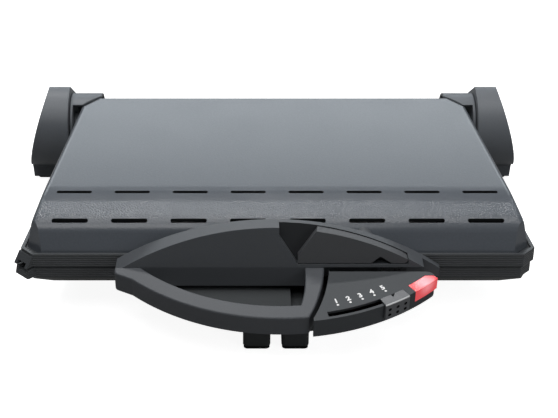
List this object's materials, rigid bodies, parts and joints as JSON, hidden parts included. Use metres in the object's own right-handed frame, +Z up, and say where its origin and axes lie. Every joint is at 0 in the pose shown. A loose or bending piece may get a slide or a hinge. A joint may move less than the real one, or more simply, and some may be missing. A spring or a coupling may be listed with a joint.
{
  "type": "electric contact grill",
  "caption": "Countertop electric grill: ridged plates in a tapered base and vented lid on rear hinge cheeks, eye-shaped handle with lock lever, heat slider and lamp",
  "frame": {"origin": "middle of the footprint's bounding box, on the table", "axes": "+X to the right seen from the front, +Y to the rear, +Z up"},
  "size_m": [0.4324, 0.3626, 0.0931],
  "materials": {
    "lid_plastic": "fine-grained grey moulded plastic",
    "handle_plastic": "dark grey moulded plastic, satin",
    "dark_plastic": "charcoal moulded plastic, satin",
    "plate_coating": "cast aluminium with a black non-stick coating",
    "steel": "plain zinc-plated steel",
    "reflector_sheet": "bright rolled sheet",
    "red_lens": "clear red plastic",
    "lamp_glass": "small neon bulb",
    "foot_rubber": "soft black rubber"
  },
  "bodies": {
    "base": {"base_shell": "dark_plastic", "lower_plate": "plate_coating", "lower_heater": "steel", "lower_reflector": "reflector_sheet", "lower_plate_clips": "steel", "thermostat": "steel", "terminal_block": "dark_plastic", "cable_gland": "foot_rubber", "front_ledge": "dark_plastic", "ledge_screws": "steel", "lock_catch": "steel", "foot_pads": "foot_rubber", "front_foot_left": "dark_plastic", "front_foot_right": "dark_plastic", "control_box": "handle_plastic", "control_box_floor": "dark_plastic", "box_screws": "steel", "lamp_lens": "red_lens", "neon_lamp": "lamp_glass", "cheek_left": "dark_plastic", "cheek_right": "dark_plastic", "hinge_pin_left": "steel", "hinge_pin_right": "steel", "cheek_screws": "steel"},
    "lid": {"lid_shell": "lid_plastic", "upper_plate": "plate_coating", "upper_heater": "steel", "upper_reflector": "reflector_sheet", "upper_plate_clips": "steel", "thermal_cutout": "steel", "handle_crest": "handle_plastic", "crest_screws": "steel", "grip_loop": "handle_plastic", "grip_cover": "handle_plastic", "grip_screws": "steel", "lever_screw": "steel", "hinge_arm_left": "steel", "hinge_arm_right": "steel", "hinge_hood_left": "dark_plastic", "hinge_hood_right": "dark_plastic"},
    "lever": {"lock_lever": "handle_plastic"},
    "slider": {"slider_knob": "handle_plastic", "control_arm": "steel"}
  },
  "joints": [
    {"name": "lid_hinge", "type": "hinge", "parent": "base", "child": "lid", "pos_m": [0, 0.14531, 0.052], "axis": [-1, 0, 0], "range_deg": [0, 180]},
    {"name": "lock_turn", "type": "hinge", "parent": "lid", "child": "lever", "pos_m": [0.0893, -0.12651, 0.0696], "axis": [0, 0.9791, -0.2033], "range_deg": [0, 20]},
    {"name": "heat_slide", "type": "hinge", "parent": "base", "child": "slider", "pos_m": [0.0005, -0.02482, 0.0835], "axis": [0, -0.1908, 0.9816], "range_deg": [-14.1, 0]}
  ]
}
